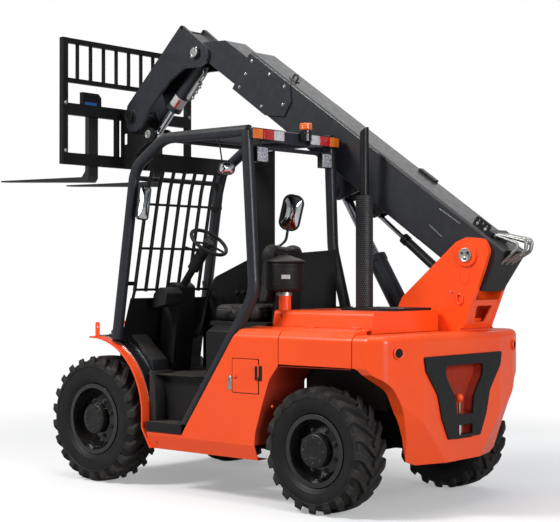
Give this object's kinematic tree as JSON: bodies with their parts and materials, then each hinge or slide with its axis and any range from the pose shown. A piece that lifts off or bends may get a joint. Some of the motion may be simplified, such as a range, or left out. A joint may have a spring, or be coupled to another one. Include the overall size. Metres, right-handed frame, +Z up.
{
  "type": "rough terrain forklift",
  "caption": "Compact rough terrain forklift: a telescopic boom pivoted behind the open side cab lifts, reaches and tips a pallet fork carriage.",
  "frame": {"origin": "on the ground under the middle of the whole machine, forks and boom included", "axes": "+X forward along the forks, +Y to the operator's left, +Z up"},
  "size_m": [4.87, 1.815, 3.3721],
  "materials": {
    "orange_paint": "gloss",
    "charcoal_paint": "satin",
    "black_paint": "satin",
    "rim_paint": "satin",
    "tyre": "matte",
    "chrome_rod": "polished",
    "bright_steel": "satin",
    "cast_iron": "rough",
    "exhaust_steel": "heat-dulled",
    "black_plastic": "matte",
    "lamp_plastic": "gloss",
    "hose_rubber": "matte",
    "seat_vinyl": "satin"
  },
  "bodies": {
    "machine": {"chassis_frame": "charcoal_paint", "boom_bracket": "orange_paint", "rear_axle": "black_paint", "front_axle": "black_paint", "rear_counterweight": "orange_paint", "bumper_insert": "black_paint", "tow_pin": "bright_steel", "engine_hood": "orange_paint", "hood_louvre": "black_paint", "left_side_panel": "orange_paint", "right_side_cover": "orange_paint", "engine_block": "cast_iron", "cab_floor": "charcoal_paint", "front_fenders": "orange_paint", "arch_liners": "black_paint", "canopy_frame": "charcoal_paint", "canopy_roof": "black_paint", "front_guard": "black_paint", "right_wall": "charcoal_paint", "seat_base": "black_paint", "seat_cushion": "seat_vinyl", "seat_backrest": "seat_vinyl", "control_console": "black_plastic", "steering_column": "black_plastic", "steering_wheel": "black_plastic", "exhaust_stack": "exhaust_steel", "roof_lights": "lamp_plastic", "mirrors": "black_plastic"},
    "boom": {"outer_boom": "charcoal_paint", "boom_pipes": "bright_steel"},
    "inner_boom": {"inner_boom": "charcoal_paint", "boom_head": "charcoal_paint"},
    "carriage": {"carriage_bracket": "charcoal_paint", "fork_carriage": "black_paint", "forks": "black_paint"},
    "lift_barrel": {"lift_cylinder_barrel": "charcoal_paint"},
    "lift_rod": {"lift_cylinder_rod": "chrome_rod"},
    "levelling_barrel": {"levelling_cylinder_barrel": "charcoal_paint"},
    "levelling_rod": {"levelling_cylinder_rod": "chrome_rod"},
    "tilt_barrel": {"tilt_cylinder_barrel": "charcoal_paint"},
    "tilt_rod": {"tilt_cylinder_rod": "chrome_rod"},
    "knuckle_left": {"steering_knuckle_left": "black_paint"},
    "knuckle_right": {"steering_knuckle_right": "black_paint"},
    "rear_wheel_left": {"rear_tyre_left": "tyre", "rear_rim_left": "rim_paint"},
    "rear_wheel_right": {"rear_tyre_right": "tyre", "rear_rim_right": "rim_paint"},
    "front_wheel_left": {"front_tyre_left": "tyre", "front_rim_left": "rim_paint"},
    "front_wheel_right": {"front_tyre_right": "tyre", "front_rim_right": "rim_paint"},
    "fuel_door": {"fuel_door": "orange_paint"},
    "engine_side_cover": {"engine_side_cover": "orange_paint"}
  },
  "joints": [
    {"name": "boom_lift", "type": "hinge", "parent": "machine", "child": "boom", "pos_m": [-2.065, -0.2075, 1.588], "axis": [0, -1, 0], "range_deg": [-37, 25.3]},
    {"name": "boom_telescope", "type": "slide", "parent": "boom", "child": "inner_boom", "axis": [0.8221, 0, 0.5693], "range_m": [0, 1.3]},
    {"name": "carriage_tilt", "type": "hinge", "parent": "inner_boom", "child": "carriage", "pos_m": [1.096, -0.2075, 2.72], "axis": [0, 1, 0], "range_deg": [-40, 55]},
    {"name": "lift_barrel_swing", "type": "hinge", "parent": "machine", "child": "lift_barrel", "pos_m": [-1.745, -0.2075, 0.726], "axis": [0, -1, 0], "range_deg": [-24.16, 16.53]},
    {"name": "lift_rod_slide", "type": "slide", "parent": "lift_barrel", "child": "lift_rod", "axis": [0.5229, 0, 0.8524], "range_m": [-0.4826, 0.3301]},
    {"name": "levelling_barrel_swing", "type": "hinge", "parent": "machine", "child": "levelling_barrel", "pos_m": [-1.865, -0.2075, 1.39], "axis": [0, -1, 0], "range_deg": [-39.93, 27.3]},
    {"name": "levelling_rod_slide", "type": "slide", "parent": "levelling_barrel", "child": "levelling_rod", "axis": [0.7884, 0, 0.6151], "range_m": [-0.1659, 0.1135]},
    {"name": "tilt_barrel_swing", "type": "hinge", "parent": "inner_boom", "child": "tilt_barrel", "pos_m": [0.375, -0.2075, 3.143], "axis": [0, -1, 0], "range_deg": [-1.45, 1.99]},
    {"name": "tilt_rod_slide", "type": "slide", "parent": "tilt_barrel", "child": "tilt_rod", "axis": [0.6965, 0, -0.7176], "range_m": [-0.1857, 0.1351]},
    {"name": "steering_right", "type": "hinge", "parent": "machine", "child": "knuckle_right", "pos_m": [-1.565, -0.4275, 0.39], "axis": [0, 0, 1], "range_deg": [-30, 30]},
    {"name": "steering_left", "type": "hinge", "parent": "machine", "child": "knuckle_left", "pos_m": [-1.565, 0.6125, 0.39], "axis": [0, 0, 1], "range_deg": [-30, 30]},
    {"name": "rear_wheel_right_spin", "type": "hinge", "parent": "knuckle_right", "child": "rear_wheel_right", "pos_m": [-1.565, -0.5905, 0.39], "axis": [0, 1, 0], "continuous": true},
    {"name": "rear_wheel_left_spin", "type": "hinge", "parent": "knuckle_left", "child": "rear_wheel_left", "pos_m": [-1.565, 0.7755, 0.39], "axis": [0, 1, 0], "continuous": true},
    {"name": "front_wheel_right_spin", "type": "hinge", "parent": "machine", "child": "front_wheel_right", "pos_m": [0.465, -0.5705, 0.442], "axis": [0, 1, 0], "continuous": true},
    {"name": "front_wheel_left_spin", "type": "hinge", "parent": "machine", "child": "front_wheel_left", "pos_m": [0.465, 0.7555, 0.442], "axis": [0, 1, 0], "continuous": true},
    {"name": "fuel_door_hinge", "type": "hinge", "parent": "machine", "child": "fuel_door", "pos_m": [-1.123, 0.898, 0.819], "axis": [0, 0, 1], "range_deg": [0, 100]},
    {"name": "engine_side_cover_hinge", "type": "hinge", "parent": "machine", "child": "engine_side_cover", "pos_m": [-1.565, 0.6991, 1.1365], "axis": [1, 0, 0], "range_deg": [0, 70]}
  ],
  "couplings": [
    {"joint": "lift_barrel_swing", "follows": "boom_lift", "ratio": 0.6528},
    {"joint": "lift_rod_slide", "follows": "boom_lift", "m_per_rad": 0.74696},
    {"joint": "levelling_barrel_swing", "follows": "boom_lift", "ratio": 1.0788},
    {"joint": "levelling_rod_slide", "follows": "boom_lift", "m_per_rad": 0.25658},
    {"joint": "tilt_barrel_swing", "follows": "carriage_tilt", "ratio": 0.036},
    {"joint": "tilt_rod_slide", "follows": "carriage_tilt", "m_per_rad": -0.19315},
    {"joint": "steering_left", "follows": "steering_right", "ratio": 1}
  ]
}
